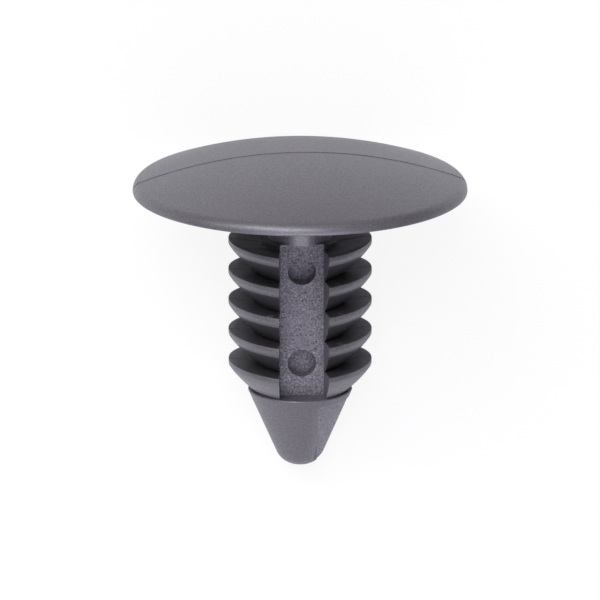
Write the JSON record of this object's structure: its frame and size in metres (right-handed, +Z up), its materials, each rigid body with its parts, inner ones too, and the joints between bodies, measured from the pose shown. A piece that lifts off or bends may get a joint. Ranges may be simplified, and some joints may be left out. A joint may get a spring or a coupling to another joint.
{
  "type": "plastic push rivet",
  "caption": "Moulded nylon push rivet: a wide shallow domed head on a stem of springy barbed fins with a bullet tip, pushed into a panel hole to hold trim.",
  "frame": {"origin": "on the surface that the rivet lies on, under the middle of its box", "axes": "+Z up from that surface; the stem's axis lies in the Y-Z plane, with the head towards +Y and raised 28 degrees and the nose towards -Y; X is along the mould's parting plane, across the head"},
  "size_m": [0.02, 0.0204, 0.0178],
  "materials": {
    "nylon": "satin dark grey nylon with a fine moulded grain"
  },
  "bodies": {
    "root": {"push_rivet": "nylon"}
  },
  "joints": []
}
